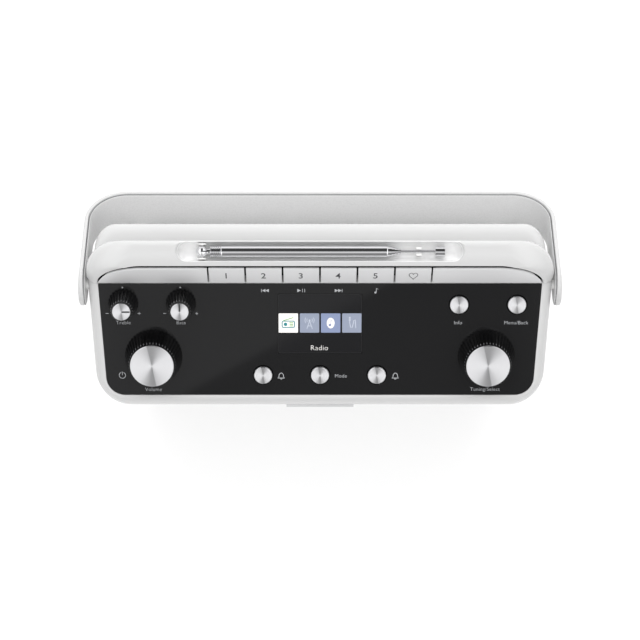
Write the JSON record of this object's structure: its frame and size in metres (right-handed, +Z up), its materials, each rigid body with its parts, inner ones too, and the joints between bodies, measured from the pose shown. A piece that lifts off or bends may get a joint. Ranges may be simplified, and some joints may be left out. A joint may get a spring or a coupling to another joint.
{
  "type": "tabletop radio",
  "caption": "Tabletop radio with a sloped control panel, screen, turning knobs, preset keys, telescopic antenna in the hood and a swinging carrying handle.",
  "frame": {"origin": "on the table, under the middle of the radio with its handle folded back", "axes": "+Z up, front with the speaker grille towards -Y, +X to the listener's right"},
  "size_m": [0.2826, 0.1298, 0.155],
  "materials": {
    "cabinet_white": "gloss white moulded ABS",
    "grille_white": "white powder-coated perforated steel",
    "badge_metal": "brushed",
    "panel_black": "gloss black moulded acrylic",
    "screen": "glossy display window",
    "display_metal": "display module frame",
    "circuit_board": "solder-masked glass-epoxy board",
    "switch_black": "moulded switch bodies",
    "zinc": "zinc-plated steel",
    "knob_black": "satin black moulded plastic",
    "knob_cap": "spun aluminium",
    "button_metal": "spun aluminium",
    "shaft_steel": "turned steel",
    "key_silver": "silver lacquered plastic",
    "handle_white": "white coated leatherette",
    "handle_lining": "light grey leatherette",
    "pin_white": "gloss white cap",
    "chrome": "chrome-plated brass",
    "clip_white": "white moulded clip",
    "rubber_grey": "moulded rubber",
    "speaker_black": "black painted steel",
    "cone_paper": "coated paper cone",
    "socket_black": "black moulded plastic",
    "screw_black": "blackened steel"
  },
  "bodies": {
    "root": {"cabinet": "cabinet_white", "rear_shell": "cabinet_white", "top_cover": "cabinet_white", "speaker_grille": "grille_white", "front_badge": "badge_metal", "control_panel": "panel_black", "display_window": "screen", "display_module": "display_metal", "control_board": "circuit_board", "key_board": "circuit_board", "main_board": "circuit_board", "tact_switches": "switch_black", "encoders": "zinc", "tone_pots": "zinc", "key_end_left": "key_silver", "key_end_right": "key_silver", "handle_pins": "pin_white", "handle_bumpers": "rubber_grey", "antenna_base": "chrome", "antenna_clip": "clip_white", "speaker_baskets": "speaker_black", "speaker_cones": "cone_paper", "bass_port": "socket_black", "power_inlet": "socket_black", "audio_jacks": "socket_black", "feet": "rubber_grey", "screws": "screw_black"},
    "volume_pusher": {"volume_plunger": "switch_black"},
    "volume_dial": {"volume_shaft": "shaft_steel", "volume_knob": "knob_black", "volume_cap": "knob_cap"},
    "tuning_pusher": {"tuning_plunger": "switch_black"},
    "tuning_dial": {"tuning_shaft": "shaft_steel", "tuning_knob": "knob_black", "tuning_cap": "knob_cap"},
    "treble_dial": {"treble_shaft": "shaft_steel", "treble_knob": "knob_black", "treble_cap": "knob_cap"},
    "bass_dial": {"bass_shaft": "shaft_steel", "bass_knob": "knob_black", "bass_cap": "knob_cap"},
    "handle": {"handle_band": "handle_white", "handle_lining": "handle_lining"},
    "alarm_1_button": {"alarm_1_button": "button_metal"},
    "mode_button": {"mode_button": "button_metal"},
    "alarm_2_button": {"alarm_2_button": "button_metal"},
    "info_button": {"info_button": "button_metal"},
    "menu_button": {"menu_button": "button_metal"},
    "key_1": {"key_1": "key_silver"},
    "key_2": {"key_2": "key_silver"},
    "key_3": {"key_3": "key_silver"},
    "key_4": {"key_4": "key_silver"},
    "key_5": {"key_5": "key_silver"},
    "key_favourite": {"key_favourite": "key_silver"},
    "antenna_tube_1": {"antenna_tube_1": "chrome"},
    "antenna_tube_2": {"antenna_tube_2": "chrome"},
    "antenna_tube_3": {"antenna_tube_3": "chrome"},
    "antenna_tube_4": {"antenna_tube_4": "chrome"},
    "antenna_tube_5": {"antenna_tube_5": "chrome"},
    "antenna_rod": {"antenna_rod": "chrome"}
  },
  "joints": [
    {"name": "handle_swing", "type": "hinge", "parent": "root", "child": "handle", "pos_m": [0, 0.00795, 0.1295], "axis": [1, 0, 0], "range_deg": [0, 180]},
    {"name": "volume_push", "type": "slide", "parent": "root", "child": "volume_pusher", "axis": [0, 0.342, -0.9397], "range_m": [0, 0.0006], "stiffness_N_per_m": 1500, "springref_m": -0.001},
    {"name": "volume_turn", "type": "hinge", "parent": "volume_pusher", "child": "volume_dial", "pos_m": [-0.0979, -0.03451, 0.12247], "axis": [0, -0.342, 0.9397], "continuous": true},
    {"name": "tuning_push", "type": "slide", "parent": "root", "child": "tuning_pusher", "axis": [0, 0.342, -0.9397], "range_m": [0, 0.0006], "stiffness_N_per_m": 1500, "springref_m": -0.001},
    {"name": "tuning_turn", "type": "hinge", "parent": "tuning_pusher", "child": "tuning_dial", "pos_m": [0.0979, -0.03451, 0.12247], "axis": [0, -0.342, 0.9397], "continuous": true},
    {"name": "treble_turn", "type": "hinge", "parent": "root", "child": "treble_dial", "pos_m": [-0.1149, -0.00341, 0.13379], "axis": [0, -0.342, 0.9397], "range_deg": [-60, 240]},
    {"name": "bass_turn", "type": "hinge", "parent": "root", "child": "bass_dial", "pos_m": [-0.0812, -0.00341, 0.13379], "axis": [0, -0.342, 0.9397], "range_deg": [-150, 150]},
    {"name": "alarm_1_press", "type": "slide", "parent": "root", "child": "alarm_1_button", "axis": [0, 0.342, -0.9397], "range_m": [0, 0.0008], "stiffness_N_per_m": 500, "springref_m": -0.001},
    {"name": "mode_press", "type": "slide", "parent": "root", "child": "mode_button", "axis": [0, 0.342, -0.9397], "range_m": [0, 0.0008], "stiffness_N_per_m": 500, "springref_m": -0.001},
    {"name": "alarm_2_press", "type": "slide", "parent": "root", "child": "alarm_2_button", "axis": [0, 0.342, -0.9397], "range_m": [0, 0.0008], "stiffness_N_per_m": 500, "springref_m": -0.001},
    {"name": "info_press", "type": "slide", "parent": "root", "child": "info_button", "axis": [0, 0.342, -0.9397], "range_m": [0, 0.0008], "stiffness_N_per_m": 500, "springref_m": -0.001},
    {"name": "menu_press", "type": "slide", "parent": "root", "child": "menu_button", "axis": [0, 0.342, -0.9397], "range_m": [0, 0.0008], "stiffness_N_per_m": 500, "springref_m": -0.001},
    {"name": "key_1_press", "type": "slide", "parent": "root", "child": "key_1", "axis": [0, 0.853, -0.5219], "range_m": [0, 0.0012], "stiffness_N_per_m": 500, "springref_m": -0.001},
    {"name": "key_2_press", "type": "slide", "parent": "root", "child": "key_2", "axis": [0, 0.853, -0.5219], "range_m": [0, 0.0012], "stiffness_N_per_m": 500, "springref_m": -0.001},
    {"name": "key_3_press", "type": "slide", "parent": "root", "child": "key_3", "axis": [0, 0.853, -0.5219], "range_m": [0, 0.0012], "stiffness_N_per_m": 500, "springref_m": -0.001},
    {"name": "key_4_press", "type": "slide", "parent": "root", "child": "key_4", "axis": [0, 0.853, -0.5219], "range_m": [0, 0.0012], "stiffness_N_per_m": 500, "springref_m": -0.001},
    {"name": "key_5_press", "type": "slide", "parent": "root", "child": "key_5", "axis": [0, 0.853, -0.5219], "range_m": [0, 0.0012], "stiffness_N_per_m": 500, "springref_m": -0.001},
    {"name": "key_favourite_press", "type": "slide", "parent": "root", "child": "key_favourite", "axis": [0, 0.853, -0.5219], "range_m": [0, 0.0012], "stiffness_N_per_m": 500, "springref_m": -0.001},
    {"name": "antenna_lift", "type": "hinge", "parent": "root", "child": "antenna_tube_1", "pos_m": [-0.068, 0.02645, 0.1514], "axis": [0, -1, 0], "range_deg": [0, 90]},
    {"name": "antenna_tube_2_slide", "type": "slide", "parent": "antenna_tube_1", "child": "antenna_tube_2", "axis": [1, 0, 0], "range_m": [0, 0.0601]},
    {"name": "antenna_tube_3_slide", "type": "slide", "parent": "antenna_tube_2", "child": "antenna_tube_3", "axis": [1, 0, 0], "range_m": [0, 0.0601]},
    {"name": "antenna_tube_4_slide", "type": "slide", "parent": "antenna_tube_3", "child": "antenna_tube_4", "axis": [1, 0, 0], "range_m": [0, 0.0601]},
    {"name": "antenna_tube_5_slide", "type": "slide", "parent": "antenna_tube_4", "child": "antenna_tube_5", "axis": [1, 0, 0], "range_m": [0, 0.0601]},
    {"name": "antenna_rod_slide", "type": "slide", "parent": "antenna_tube_5", "child": "antenna_rod", "axis": [1, 0, 0], "range_m": [0, 0.0601]}
  ],
  "couplings": [
    {"joint": "antenna_tube_2_slide", "follows": "antenna_lift", "m_per_rad": 0.0382},
    {"joint": "antenna_tube_3_slide", "follows": "antenna_lift", "m_per_rad": 0.0382},
    {"joint": "antenna_tube_4_slide", "follows": "antenna_lift", "m_per_rad": 0.0382},
    {"joint": "antenna_tube_5_slide", "follows": "antenna_lift", "m_per_rad": 0.0382},
    {"joint": "antenna_rod_slide", "follows": "antenna_lift", "m_per_rad": 0.0382}
  ]
}
